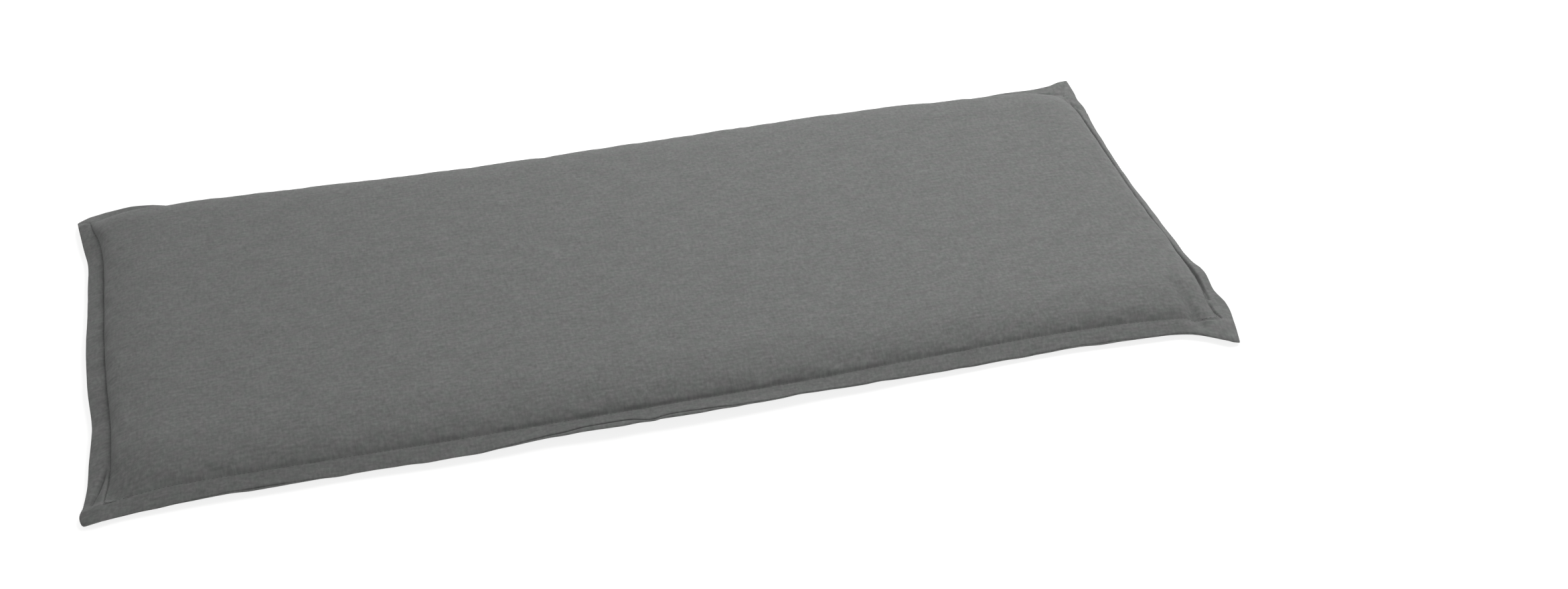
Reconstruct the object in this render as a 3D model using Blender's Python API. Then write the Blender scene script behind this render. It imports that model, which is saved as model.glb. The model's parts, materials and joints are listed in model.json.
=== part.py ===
"""Bench cushion: a slim filled pad for a two-seat bench, with a flange of double cloth.

Units are metres and +Z is up. The cushion lies on the ground plane, on its back. Its origin is on
the ground under the middle of its footprint, with the length along X and the front edge towards -Y.

Two panels are sewn together round the rim. A stitch row inside the rim shuts the filled pad in.
Outside the stitch row the two panels lie together as the flange, which hangs down a little and is
uneven, as cloth is. The flange's corners are drawn out into ears, because the filling pulls the
sides in between them.
"""

from collections import namedtuple

import bmesh
import bpy
import numpy as np

MM = 0.001

# Driving dimensions, in millimetres.
LENGTH = 1000.0  # from ear to ear along X
DEPTH = 450.0  # from ear to ear along Y
FLANGE = 17.5  # cloth between the rim and the stitch row
FLANGE_THICKNESS = 3.0  # two panels and their seam allowance
RIM_THICKNESS = 2.6
STITCH_THICKNESS = 2.2  # the same cloth pressed together by the thread
STITCH_HEIGHT = 13.0  # middle of the cloth at the stitch row, above the ground
PAD_RISE = 16.2  # how far the top panel rises inside the stitch row
CROWN = 5.0  # how much higher the middle of the cushion is than its shoulders
GROUND_CLEARANCE = 0.4  # of the flange's underside where it hangs lowest

# How the filled pad rounds over from the stitch row: the curve's width and the power that shapes it.
TOP_SHOULDER = 52.0
TOP_POWER = 3.4
BASE_SHOULDER = 40.0
BASE_POWER = 2.8
FLANGE_BOW = 1.3  # power of the flange's hang: level at the stitch row, bent down at the rim
DRAW_REACH = 170.0  # how far into the pad the drawn-in stitch row still moves the cloth

# Lines of the cut cloth, as distances in from the rim, and their spacing over the rest of a panel.
EDGE_LINES = (0.0, 4.5, 9.0, 13.5, 17.5, 20.0, 23.5, 28.0, 33.5, 40.0, 48.0, 58.0, 72.0, 90.0)
OPEN_SPACING = 26.0

CLOTH_COLOUR = (0.165, 0.168, 0.160, 1.0)
CLOTH_ROUGHNESS = 0.92

# One row for each place where a side bends.
# place: millimetres along the side from its middle.
# rim_in: how far the rim is drawn in from the ears.
# stitch_in: how far the stitch row is drawn in from where it was cut to lie.
# rim_height: middle of the cloth at the rim, above the ground.
Bend = namedtuple("Bend", "place rim_in stitch_in rim_height")

FRONT = (
    Bend(-500, -3.0, -5.5, 8.0),
    Bend(-485, -2.6, -4.5, 6.0),
    Bend(-470, -1.0, -3.5, 5.5),
    Bend(-440, 1.6, 0.0, 6.0),
    Bend(-400, 3.6, 1.2, 7.0),
    Bend(-300, 3.9, 1.4, 7.0),
    Bend(-200, 3.5, 1.4, 8.0),
    Bend(-135, 4.6, 2.4, 10.0),
    Bend(-50, 5.4, 3.4, 12.0),
    Bend(50, 7.0, 5.0, 12.0),
    Bend(105, 8.7, 6.1, 11.0),
    Bend(165, 12.0, 9.1, 9.0),
    Bend(230, 16.0, 12.0, 6.5),
    Bend(300, 18.9, 15.4, 5.5),
    Bend(350, 20.1, 16.1, 5.5),
    Bend(410, 18.3, 14.4, 6.0),
    Bend(450, 14.0, 11.0, 6.0),
    Bend(470, 4.6, 8.0, 6.0),
    Bend(485, -5.4, 6.0, 6.5),
    Bend(500, -6.2, 5.5, 8.0),
)
BACK = (
    Bend(-500, 10.0, 3.5, 8.0),
    Bend(-485, 9.0, 4.0, 7.5),
    Bend(-470, 7.5, 5.0, 8.0),
    Bend(-440, 6.0, 7.0, 8.5),
    Bend(-400, 9.5, 10.0, 7.5),
    Bend(-250, 15.0, 15.0, 7.0),
    Bend(-150, 17.0, 17.0, 7.0),
    Bend(-50, 16.0, 16.0, 7.5),
    Bend(50, 14.0, 14.0, 7.5),
    Bend(150, 12.0, 12.0, 7.0),
    Bend(250, 11.0, 11.0, 7.0),
    Bend(350, 14.0, 15.0, 7.5),
    Bend(440, 13.0, 14.0, 7.5),
    Bend(470, 9.5, 9.0, 7.0),
    Bend(485, 3.0, 6.0, 6.5),
    Bend(500, -3.5, 5.5, 8.0),
)
LEFT = (
    Bend(-225, 0.4, -2.5, 8.0),
    Bend(-214, -0.6, 0.5, 6.5),
    Bend(-203, 2.0, 2.5, 6.0),
    Bend(-180, 6.4, 7.0, 6.0),
    Bend(-150, 8.2, 8.6, 6.5),
    Bend(-110, 10.6, 9.0, 6.5),
    Bend(-60, 7.8, 7.0, 7.5),
    Bend(0, 7.4, 6.2, 8.0),
    Bend(60, 9.6, 7.2, 7.5),
    Bend(100, 11.0, 7.9, 6.5),
    Bend(140, 10.4, 7.5, 6.0),
    Bend(170, 7.2, 4.0, 6.0),
    Bend(195, 4.2, -0.5, 6.5),
    Bend(225, 1.0, -2.5, 8.0),
)
RIGHT = (
    Bend(-225, 0.8, -6.5, 8.0),
    Bend(-208, -3.8, -6.2, 6.0),
    Bend(-190, -5.4, -5.4, 7.0),
    Bend(-170, -3.4, -5.8, 9.0),
    Bend(-150, -2.0, -6.0, 11.5),
    Bend(-130, -2.6, -5.4, 12.0),
    Bend(-108, 0.2, -4.8, 8.0),
    Bend(-85, 0.6, -4.4, 5.5),
    Bend(-50, 1.6, -2.0, 4.0),
    Bend(10, 4.8, -0.4, 3.4),
    Bend(70, 6.0, 0.0, 3.2),
    Bend(130, 5.0, -1.6, 3.4),
    Bend(175, 2.0, 0.0, 4.5),
    Bend(205, 2.8, -2.5, 5.5),
    Bend(225, 1.4, -4.5, 8.0),
)

# One row for each crease at the corners: its two ends in millimetres from the cushion's middle, its
# depth and half its width. A negative depth is a ridge.
Crease = namedtuple("Crease", "x0 y0 x1 y1 depth half_width")

CREASES = (
    Crease(-477, -193, -494, -213, 2.0, 4.5),  # front left ear
    Crease(-476, -203, -486, -214, -1.2, 4.0),
    Crease(-484, -213, -466, -216, 1.4, 4.0),
    Crease(470, -207, 488, -214, 2.2, 5.0),  # front right ear
    Crease(488, -186, 491, -206, 1.6, 4.0),
    Crease(489, -172, 502, -178, 2.0, 4.5),
    Crease(464, -197, 474, -200, 2.0, 7.0),
    Crease(483, 203, 489, 212, 1.4, 4.5),  # back right ear
    Crease(-484, 203, -493, 214, 1.4, 4.5),  # back left ear
)


def bend_at(bends, place):
    """The side's rim_in, stitch_in and rim_height at a place, on a smooth curve through its rows."""
    places = [bend.place for bend in bends]
    values = np.array([bend[1:] for bend in bends], float)
    slopes = np.gradient(values, places, axis=0)
    place = min(max(place, places[0]), places[-1])
    row = min(int(np.searchsorted(places, place, side="right")) - 1, len(places) - 2)
    width = places[row + 1] - places[row]
    t = (place - places[row]) / width
    start = (1 + 2 * t) * (1 - t) ** 2 * values[row] + t * (1 - t) ** 2 * width * slopes[row]
    end = t * t * (3 - 2 * t) * values[row + 1] - t * t * (1 - t) * width * slopes[row + 1]
    return start + end


def cut_lines(size):
    """Where a panel's lines cross a side of this length: close by the rim, wider apart inside."""
    half = size / 2
    open_width = size - 2 * EDGE_LINES[-1]
    count = round(open_width / OPEN_SPACING)
    first = [line - half for line in EDGE_LINES]
    middle = [first[-1] + open_width * step / count for step in range(1, count)]
    last = [half - line for line in reversed(EDGE_LINES)]
    return first + middle + last


def drawn_in(edge, rim_in, stitch_in):
    """How far a side draws cloth in that was cut this far in from the rim."""
    if edge <= FLANGE:
        return rim_in + (stitch_in - rim_in) * edge / FLANGE
    return stitch_in * max(0.0, 1 - (edge - FLANGE) / DRAW_REACH) ** 2


def hang(edge, rim_height):
    """How far the flange is from the stitch row's height, this far in from the rim."""
    if edge >= FLANGE:
        return 0.0
    return (rim_height - STITCH_HEIGHT) * (1 - edge / FLANGE) ** FLANGE_BOW


def filled(edge, shoulder, power):
    """How full the pad is, from 0 at the stitch row to 1 past its shoulder, this far in from the rim."""
    inside = min(max((edge - FLANGE) / shoulder, 0.0), 1.0)
    return (1 - (1 - inside) ** power) ** 0.5


def cloth_thickness(edge):
    """The flange's double cloth: full in the middle, thinner at the rim, pressed at the stitches."""
    middle = FLANGE / 2
    if edge < middle:
        return RIM_THICKNESS + (FLANGE_THICKNESS - RIM_THICKNESS) * edge / middle
    pressed = min((edge - middle) / middle, 1.0) ** 2
    return FLANGE_THICKNESS + (STITCH_THICKNESS - FLANGE_THICKNESS) * pressed


def crease_depth(x, y):
    """How far the corner creases lower the cloth at this point."""
    depth = 0.0
    for crease in CREASES:
        along = np.array((crease.x1 - crease.x0, crease.y1 - crease.y0), float)
        reach = np.array((x - crease.x0, y - crease.y0))
        t = min(max(reach @ along / (along @ along), 0.0), 1.0)
        off = np.linalg.norm(reach - t * along) / crease.half_width
        if off < 1:
            depth += crease.depth * (1 - off * off) ** 2
    return depth


def sewn_point(cut_x, cut_y, on_top):
    """Where a point of a cut panel lies once the cushion is sewn and filled, in millimetres."""
    side_x = RIGHT if cut_x > 0 else LEFT
    side_y = BACK if cut_y > 0 else FRONT
    edge_x = LENGTH / 2 - abs(cut_x)
    edge_y = DEPTH / 2 - abs(cut_y)
    rim_in_x, stitch_in_x, height_x = bend_at(side_x, cut_y)
    rim_in_y, stitch_in_y, height_y = bend_at(side_y, cut_x)
    x = cut_x - np.sign(cut_x) * drawn_in(edge_x, rim_in_x, stitch_in_x)
    y = cut_y - np.sign(cut_y) * drawn_in(edge_y, rim_in_y, stitch_in_y)

    nearest = min(edge_x, edge_y)
    half_cloth = cloth_thickness(nearest) / 2
    crease = crease_depth(x, y)
    if nearest <= FLANGE:
        middle = STITCH_HEIGHT + hang(edge_x, height_x) + hang(edge_y, height_y) - crease
        middle = max(middle, GROUND_CLEARANCE + half_cloth)
        return x, y, middle + half_cloth if on_top else middle - half_cloth

    if on_top:
        full = filled(edge_x, TOP_SHOULDER, TOP_POWER) * filled(edge_y, TOP_SHOULDER, TOP_POWER)
        bulge = (1 - (2 * cut_x / LENGTH) ** 2) * (1 - (2 * cut_y / DEPTH) ** 2)
        return x, y, STITCH_HEIGHT + half_cloth + (PAD_RISE + CROWN * bulge) * full - crease
    full = filled(edge_x, BASE_SHOULDER, BASE_POWER) * filled(edge_y, BASE_SHOULDER, BASE_POWER)
    return x, y, (STITCH_HEIGHT - half_cloth) * (1 - full)


def slab_mesh():
    """A slab of two panels joined round the rim, as a grid of the cut lines, sewn into shape."""
    lines_x = cut_lines(LENGTH)
    lines_y = cut_lines(DEPTH)
    columns = len(lines_x) - 1
    rows = len(lines_y) - 1
    cushion = bmesh.new()
    bmesh.ops.create_grid(cushion, x_segments=columns, y_segments=rows, size=0.5)
    bottom = set(cushion.verts)
    bmesh.ops.extrude_face_region(cushion, geom=cushion.faces[:], use_keep_orig=True)
    top = set(cushion.verts) - bottom
    for panel, on_top in ((bottom, False), (top, True)):
        for vert in panel:
            cut_x = lines_x[round((vert.co.x + 0.5) * columns)]
            cut_y = lines_y[round((vert.co.y + 0.5) * rows)]
            vert.co = sewn_point(cut_x, cut_y, on_top)
    return cushion


def centre_on_ground(cushion):
    """Puts the middle of the footprint over the origin and turns millimetres into metres."""
    points = np.array([vert.co for vert in cushion.verts])
    middle = (points.min(axis=0) + points.max(axis=0)) / 2
    for vert in cushion.verts:
        vert.co.x = (vert.co.x - middle[0]) * MM
        vert.co.y = (vert.co.y - middle[1]) * MM
        vert.co.z *= MM


def woven_cloth():
    """Grey melange polyester: dull, with no gloss."""
    material = bpy.data.materials.new("grey_melange_cloth")
    material.use_nodes = True
    shader = material.node_tree.nodes["Principled BSDF"]
    shader.inputs["Base Color"].default_value = CLOTH_COLOUR
    shader.inputs["Roughness"].default_value = CLOTH_ROUGHNESS
    shader.inputs["Metallic"].default_value = 0.0
    return material


def clear_scene():
    for obj in list(bpy.data.objects):
        bpy.data.objects.remove(obj, do_unlink=True)


def make_cushion(collection):
    cushion = slab_mesh()
    centre_on_ground(cushion)
    bmesh.ops.recalc_face_normals(cushion, faces=cushion.faces[:])
    mesh = bpy.data.meshes.new("cushion")
    cushion.to_mesh(mesh)
    cushion.free()
    mesh.shade_smooth()
    mesh.materials.append(woven_cloth())
    collection.objects.link(bpy.data.objects.new("cushion", mesh))


def main():
    clear_scene()
    collection = bpy.data.collections.new("bench_cushion")
    bpy.context.scene.collection.children.link(collection)
    make_cushion(collection)


main()
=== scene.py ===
"""Bench cushion: a slim filled seat pad with a flange of double cloth, as it lies on a pale floor.

The cover is the cushion's two sewn panels with their filling. It is laid out as a flat cut of cloth in
millimetres, sewn into shape, filled by a short cloth simulation and then gets its seam and its folds.
Places and sizes are in millimetres where no other unit is named. The finished meshes are in metres,
+Z up.
"""

import json
import math
from collections import namedtuple

import bmesh
import bpy
import numpy as np
from bpy.props import FloatProperty, FloatVectorProperty, PointerProperty
from mathutils import Matrix, Vector

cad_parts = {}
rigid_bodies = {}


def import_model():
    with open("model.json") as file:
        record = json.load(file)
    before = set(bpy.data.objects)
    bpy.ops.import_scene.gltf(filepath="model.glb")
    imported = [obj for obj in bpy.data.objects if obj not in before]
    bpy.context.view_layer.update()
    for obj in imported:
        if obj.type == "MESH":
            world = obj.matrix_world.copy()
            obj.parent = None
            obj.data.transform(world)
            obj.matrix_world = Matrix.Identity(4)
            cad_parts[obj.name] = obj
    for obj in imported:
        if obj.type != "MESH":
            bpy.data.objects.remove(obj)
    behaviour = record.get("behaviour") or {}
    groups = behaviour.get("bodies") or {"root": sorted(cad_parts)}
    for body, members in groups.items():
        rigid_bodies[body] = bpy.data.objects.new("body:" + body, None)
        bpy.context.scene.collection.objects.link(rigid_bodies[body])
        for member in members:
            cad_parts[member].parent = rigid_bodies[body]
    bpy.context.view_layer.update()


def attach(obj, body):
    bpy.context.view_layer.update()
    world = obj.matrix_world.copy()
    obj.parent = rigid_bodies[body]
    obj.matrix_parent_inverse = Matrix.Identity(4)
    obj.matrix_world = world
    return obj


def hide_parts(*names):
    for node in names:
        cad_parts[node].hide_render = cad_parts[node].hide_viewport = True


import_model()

bl_info = {
    "name": "Bench cushion",
    "version": (1, 0, 0),
    "blender": (4, 5, 0),
    "location": "3D View > Sidebar > Cushion",
    "description": "Makes a flanged bench cushion of melange cloth with its stitching and its floor",
    "category": "Object",
}

MM = 0.001
NODE = "cushion"

# The filled pad over the stitch row, as the solid has it.
CENTRE = (2.6, -1.3)  # middle of the footprint, measured from the middle of the cut panels
RIM_THICKNESS = 2.6
STITCH_THICKNESS = 2.2
TOP_SHOULDER = 52.0
BASE_SHOULDER = 40.0
BASE_POWER = 2.8
FLANGE_BOW = 1.3
DRAW_REACH = 170.0
BULGE_START = 1.2  # how soon above its stitches the pad's wall stands out over them
BULGE_REACH = 9.0
GROUND_CLEARANCE = 0.4

# Lines of the cut cloth, as distances in from the seam. One subdivision halves them later.
SEAM_LINES = (0.0, 0.7, 1.6, 2.8, 4.4, 6.4, 8.4, 10.2, 12.0, 13.6, 15.0, 16.4, 17.5)
PAD_LINES = (18.3, 19.8, 22.2, 25.6, 30.0, 36.0, 43.5, 52.0, 61.0)
OPEN_SPACING = 9.0
ON_LINE = 0.05  # a point this near to a line of the cut lies on it
STITCH_CREASE = 0.7  # how sharply the subdivided cloth turns at its stitch row, from 0 to 1

# The dark line where the panels meet. It has the first depth where the seam has rolled up or down by
# the first of the next distances or less, and the second where it has rolled by the second or more.
SEAM_DEPTHS = (0.75, 2.2)
SEAM_ROLLED = (0.8, 3.0)
SEAM_WIDTH = 0.5
SEAM_FADE = (4.0, 30.0)  # the line starts at the first distance from an ear and is whole at the second

# How full the pad's shoulder is on each side. 2 makes it a quarter of an ellipse.
FRONT_POWER = 1.9
BACK_POWER = 3.1
LEFT_POWER = 2.0
RIGHT_POWER = 2.8

# How far the pad's wall stands out over its stitches: at the left and the right end of the front and
# the back, and at the front and the back end of the sides.
FRONT_BULGE = (0.8, 0.8)
BACK_BULGE = (2.6, 2.6)
LEFT_BULGE = (2.0, 1.6)
RIGHT_BULGE = (4.6, 1.0)

# One row for each place where a side bends.
# place: millimetres along the side from its middle.
# rim_in: how far the rim is drawn in from the ears.
# stitch_in: how far the stitch row is drawn in from where it was cut to lie.
# rim_height: middle of the cloth at the rim, above the ground.
Bend = namedtuple("Bend", "place rim_in stitch_in rim_height")

FRONT = (
    Bend(-500, -3.0, -5.5, 6.5),
    Bend(-485, -3.2, -4.5, 6.0),
    Bend(-470, -0.3, -3.5, 5.5),
    Bend(-440, 2.2, 0.0, 6.0),
    Bend(-400, 3.9, 1.2, 7.0),
    Bend(-350, 3.9, 1.3, 7.0),
    Bend(-310, 4.3, 1.4, 7.0),
    Bend(-290, 4.9, 1.6, 7.0),
    Bend(-265, 4.6, 1.5, 7.0),
    Bend(-190, 2.9, 1.4, 8.2),
    Bend(-150, 4.2, 2.0, 9.5),
    Bend(-110, 6.2, 2.8, 10.8),
    Bend(-80, 4.6, 3.0, 11.4),
    Bend(-50, 4.0, 3.4, 12.0),
    Bend(-30, 5.4, 3.8, 12.1),
    Bend(-10, 4.8, 4.1, 12.1),
    Bend(35, 6.2, 4.7, 12.0),
    Bend(80, 8.3, 5.5, 11.6),
    Bend(128, 11.4, 7.0, 10.4),
    Bend(165, 12.0, 9.1, 9.0),
    Bend(190, 14.0, 10.4, 8.0),
    Bend(250, 16.2, 13.0, 6.3),
    Bend(300, 18.8, 15.4, 5.5),
    Bend(350, 20.1, 16.1, 5.5),
    Bend(410, 17.5, 14.4, 6.0),
    Bend(430, 16.5, 12.8, 6.0),
    Bend(450, 15.2, 11.0, 6.0),
    Bend(470, 4.6, 8.0, 6.0),
    Bend(485, -5.8, 6.0, 6.3),
    Bend(500, -5.4, 5.5, 7.0),
)
BACK = (
    Bend(-500, 9.4, 8.0, 6.0),
    Bend(-485, 8.0, 8.4, 6.2),
    Bend(-475, 6.2, 8.6, 7.2),
    Bend(-459, 8.0, 9.0, 10.8),
    Bend(-443, 8.0, 9.2, 12.8),
    Bend(-425, 10.2, 9.0, 12.2),
    Bend(-400, 12.0, 8.4, 8.5),
    Bend(-350, 13.0, 9.4, 7.2),
    Bend(-300, 14.0, 11.2, 7.0),
    Bend(-250, 15.0, 13.4, 7.0),
    Bend(-150, 17.0, 16.6, 7.0),
    Bend(-50, 16.0, 15.4, 7.5),
    Bend(50, 14.0, 13.4, 7.5),
    Bend(150, 12.0, 11.0, 7.0),
    Bend(250, 11.0, 9.2, 7.0),
    Bend(320, 12.4, 10.6, 7.2),
    Bend(360, 13.6, 13.6, 7.5),
    Bend(390, 13.0, 15.8, 8.0),
    Bend(412, 12.2, 17.2, 8.4),
    Bend(442, 12.2, 14.6, 8.5),
    Bend(470, 9.4, 11.0, 7.7),
    Bend(485, 0.6, 9.4, 5.8),
    Bend(500, -5.6, 9.0, 4.8),
)
LEFT = (
    Bend(-225, 0.0, -2.5, 6.5),
    Bend(-214, -2.0, 0.5, 6.2),
    Bend(-203, 1.1, 2.5, 6.0),
    Bend(-180, 4.8, 7.0, 6.0),
    Bend(-150, 6.6, 8.6, 6.5),
    Bend(-110, 9.8, 9.0, 6.5),
    Bend(-60, 7.2, 7.0, 7.5),
    Bend(0, 6.4, 6.2, 8.0),
    Bend(60, 8.6, 7.2, 7.5),
    Bend(100, 9.2, 7.9, 6.5),
    Bend(140, 10.0, 7.2, 6.0),
    Bend(172, 6.0, 3.8, 6.0),
    Bend(186, 4.6, 0.6, 6.2),
    Bend(199, 3.2, -2.2, 6.4),
    Bend(225, 0.6, -3.4, 7.0),
)
RIGHT = (
    Bend(-225, 0.8, -6.5, 7.0),
    Bend(-208, -4.9, -6.2, 6.0),
    Bend(-198, -6.7, -5.8, 6.4),
    Bend(-190, -7.6, -5.4, 7.0),
    Bend(-178, -6.7, -5.6, 8.0),
    Bend(-166, -3.0, -5.8, 9.4),
    Bend(-150, -3.3, -6.0, 11.5),
    Bend(-133, -4.4, -5.5, 12.0),
    Bend(-115, -1.2, -5.0, 9.4),
    Bend(-100, -0.7, -4.6, 6.6),
    Bend(-85, -0.6, -4.4, 5.5),
    Bend(-50, -0.3, -2.6, 4.0),
    Bend(10, 2.9, -0.2, 3.4),
    Bend(70, 4.5, 0.0, 3.2),
    Bend(130, 3.3, 0.0, 3.4),
    Bend(155, 2.8, 0.2, 3.9),
    Bend(175, 1.2, 0.6, 4.5),
    Bend(197, 2.8, -0.6, 5.0),
    Bend(211, 1.2, -2.0, 4.8),
    Bend(225, -0.3, -3.2, 4.8),
)

# One row for each place where the seam rolls. seam_up: how far round the edge, from its outermost
# line, the seam lies. Above the line it shows as a dark line with a strip of the bottom panel below.
Roll = namedtuple("Roll", "place seam_up")

FRONT_ROLL = (
    Roll(-500, -0.6),
    Roll(-485, 0.0),
    Roll(-450, 0.3),
    Roll(-415, 0.6),
    Roll(-379, 2.1),
    Roll(-358, 3.0),
    Roll(-342, 2.5),
    Roll(-310, 0.8),
    Roll(-289, -0.6),
    Roll(-244, -1.3),
    Roll(-200, -1.0),
    Roll(-178, 0.0),
    Roll(-146, 1.7),
    Roll(-117, 3.8),
    Roll(-89, 6.5),
    Roll(-61, 7.7),
    Roll(-47, 7.9),
    Roll(-35, 3.6),
    Roll(-28, 2.6),
    Roll(-18, 4.7),
    Roll(-3, 5.7),
    Roll(16, 4.7),
    Roll(46, 2.2),
    Roll(75, 0.9),
    Roll(140, 0.5),
    Roll(250, 0.5),
    Roll(305, 0.9),
    Roll(353, 1.2),
    Roll(394, 2.2),
    Roll(412, 0.4),
    Roll(435, 0.2),
    Roll(447, 1.2),
    Roll(457, 2.6),
    Roll(467, 0.2),
    Roll(480, -0.8),
    Roll(500, -1.0),
)
SIDE_ROLL = (
    Roll(-225, -1.0),
    Roll(-120, -0.7),
    Roll(0, -0.5),
    Roll(120, -0.7),
    Roll(225, -1.0),
)
BACK_ROLL = (
    Roll(-500, -1.0),
    Roll(-150, -0.4),
    Roll(200, -0.6),
    Roll(500, -1.0),
)

# One row for each corner.
# ear_radius: the radius to which its ear was turned out.
# slack: share of the pad's rise that is missing at the stitches' corner, where the filling stops short.
# reach: how far from that corner the pad is slack.
# drop: how much lower the stitches lie there.
Corner = namedtuple("Corner", "ear_radius slack reach drop")

CORNERS = {
    (-1, -1): Corner(5.0, 0.97, 34.0, 3.0),  # front left
    (1, -1): Corner(2.0, 0.97, 38.0, 2.0),  # front right
    (-1, 1): Corner(1.5, 0.45, 24.0, 2.0),  # back left
    (1, 1): Corner(3.0, 0.80, 40.0, 6.0),  # back right
}

# One row for each fold: how deep it is, half its width, what share of its depth the pad has where it
# crosses it, and the way it runs, in places measured from the cushion's middle. A negative depth is a
# ridge. A fold dies out at both of its ends.
Fold = namedtuple("Fold", "depth half_width pad_share route")

FOLDS = (
    # Front left ear: a valley that the light leaves dark, and thin wrinkles beside it.
    Fold(6.0, 4.4, 0.3, ((-481, -168), (-484, -178), (-488.6, -192), (-492.4, -201.5), (-496.4, -210))),
    Fold(2.4, 2.0, 0.6, ((-478.4, -174), (-480.6, -190), (-483.6, -203), (-486, -213))),
    Fold(1.2, 2.0, 0.6, ((-486, -212.5), (-476.6, -210.3), (-464, -206))),
    # Front right ear: a crevice along the pad's wall, then two short sharp wrinkles, a fine one beside
    # the stitches and a soft valley down the pad's corner.
    Fold(8.0, 2.6, 0, ((488.6, -76), (490.9, -116), (491.3, -140), (490, -160), (488, -174))),
    Fold(4.6, 2.0, 0, ((486, -167), (490, -172), (497, -176))),
    Fold(5.0, 2.0, 0.4, ((484.5, -177), (487.4, -184.3), (486.8, -192), (490.5, -202))),
    Fold(1.8, 1.8, 0.6, ((464, -194), (475, -200), (490, -203.5))),
    Fold(6.0, 11.0, 1, ((459, -150), (463, -176), (467, -197), (471, -211))),
    # Right side: the same crevice where the pad's wall lies close over the flange.
    Fold(7.4, 2.5, 0, ((488.8, -94), (487.6, -74), (486.6, -46), (486, -8))),
    Fold(5.4, 2.6, 0, ((486, -18), (485.8, 30), (485.2, 74))),
    Fold(7.2, 2.7, 0, ((485.4, 56), (484.6, 112), (484, 154), (483.6, 184))),
    # Back ears.
    Fold(2.4, 4.2, 0, ((480, 194), (484, 205), (489, 219))),
    Fold(2.2, 2.8, 0, ((456, 202.5), (471, 202), (486, 195))),
    Fold(3.0, 3.4, 0, ((483, 178), (489, 168), (496, 163))),
    Fold(1.4, 4.5, 0, ((-484, 195), (-497, 211))),
    # The front flange buckles once where its seam has rolled up most.
    Fold(1.2, 4.5, 0, ((-38, -196), (-33, -210), (-29, -226))),
    # Left flange: soft buckles across it.
    Fold(0.9, 4.0, 0, ((-476, -98), (-487, -103), (-497, -109))),
    Fold(0.8, 4.0, 0, ((-477, -136), (-489, -141), (-499, -146))),
    Fold(0.7, 5.0, 0, ((-477, -28), (-487, -31), (-497, -37))),
    Fold(0.6, 5.0, 0, ((-477, 62), (-487, 60), (-497, 56))),
)

# Waves of the flange: long ones that grow towards the rim, and short puckers beside the stitches.
Wave = namedtuple("Wave", "length height")

RIM_WAVES = (Wave(83.0, 0.34), Wave(61.0, 0.30), Wave(37.0, 0.22), Wave(24.0, 0.12))
PUCKERS = (Wave(19.0, 0.22), Wave(13.6, 0.20), Wave(10.9, 0.12))
PUCKER_SWELL = 47.0  # the puckers come and go along the row, about this far apart
PUCKER_PEAK = 5.0  # distance from the stitches at which they are highest
PAD_PUCKER = 0.7  # share of a pucker that goes on up the pad's wall
WAVE_FADE = 45.0  # waves and puckers die out towards an ear over this distance
UNDER_REACH = 8.0  # how far in from the stitches they go on under the pad
WAVE_SEED = 11

# How much of the puckers each side has, in the order front, back, left, right.
PUCKER_SHARES = (0.35, 0.6, 1.5, 1.0)

# The filling: a short simulation in which the pad's wall swells against its stitch row. The wadding
# holds the cloth flat from the second of these distances inside the stitches, and not before the first.
WADDING_HOLDS = (12.0, 30.0)
FILL_FRAMES = 20
FILL_CAP = 5.0  # the furthest that the filling may move a point
FILL_CAP_REACH = 5.0
GATHER = 0.006  # share of extra cloth gathered up at the stitch row
GATHER_REACH = 30.0
CLOTH = {
    "quality": 8,
    "mass": 0.3,
    "tension_stiffness": 30,
    "compression_stiffness": 30,
    "shear_stiffness": 10,
    "bending_stiffness": 0.5,
    "use_pressure": True,
    "uniform_pressure_force": 8.0,
    "shrink_min": -GATHER,
    "shrink_max": 0.0,
}

# Stitches: one is modelled, and copied along both rows.
STITCH_SIDES = 6
STITCH_SINK = 0.35  # share of the thread's thickness that lies in the cloth
STITCH_STRAIGHT = 0.6  # share of a stitch's length that lies straight
STITCH_DIP = 0.6  # how far its ends go down, and how thick they are, in thicknesses of the thread

# The cloth's tone, in metres: thicker yarns along the weft and along the warp, knots of fibres, and
# patches that dyed unevenly. share: how much of the tone each makes.
Fibres = namedtuple("Fibres", "length_x length_y detail share")

FIBRES = (
    Fibres(0.0085, 0.0026, 3.0, 0.32),
    Fibres(0.0021, 0.0080, 3.0, 0.28),
    Fibres(0.0032, 0.0028, 1.0, 0.26),
    Fibres(0.030, 0.018, 2.0, 0.14),
)
HUE_PATCHES = Fibres(0.011, 0.007, 2.0, 1.0)
FIBRE_OFFSET = 7.0  # keeps one layer's pattern apart from the next one's
FIBRE_ROUGHNESS = 0.55
TONE_RANGE = (0.34, 0.66)  # the dark fibres' and the light fibres' ends of the tone
WEAVE_PITCH = 0.001  # metres from one bump of the weave to the next
WEAVE_BUMP = 0.35  # how high the weave's bumps are beside the next, the fibres'
FIBRE_BUMP = 1.8
THREAD_TWIST = 0.0004  # metres from one turn of the sewing thread's twist to the next

# Lights, in metres and watts. A lamp's width lies across the way it points, and its height along it.
WORLD_STRENGTH = 0.42
FLOOR_GLOW = 0.8
FLOOR_SIZE = 12.0
FLOOR_DROP = 0.0004  # below the ground that the cushion lies on, so that the two don't touch

Lamp = namedtuple("Lamp", "name place aim width height power")

LAMPS = (
    Lamp("side_softbox", (0.7, 0.1, 1.5), (0.1, 0.0, 0.0), 1.1, 0.9, 20.0),
    Lamp("back_softbox", (0.4, 1.9, 1.0), (0.1, 0.0, 0.0), 0.9, 0.9, 16.0),
)

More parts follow.
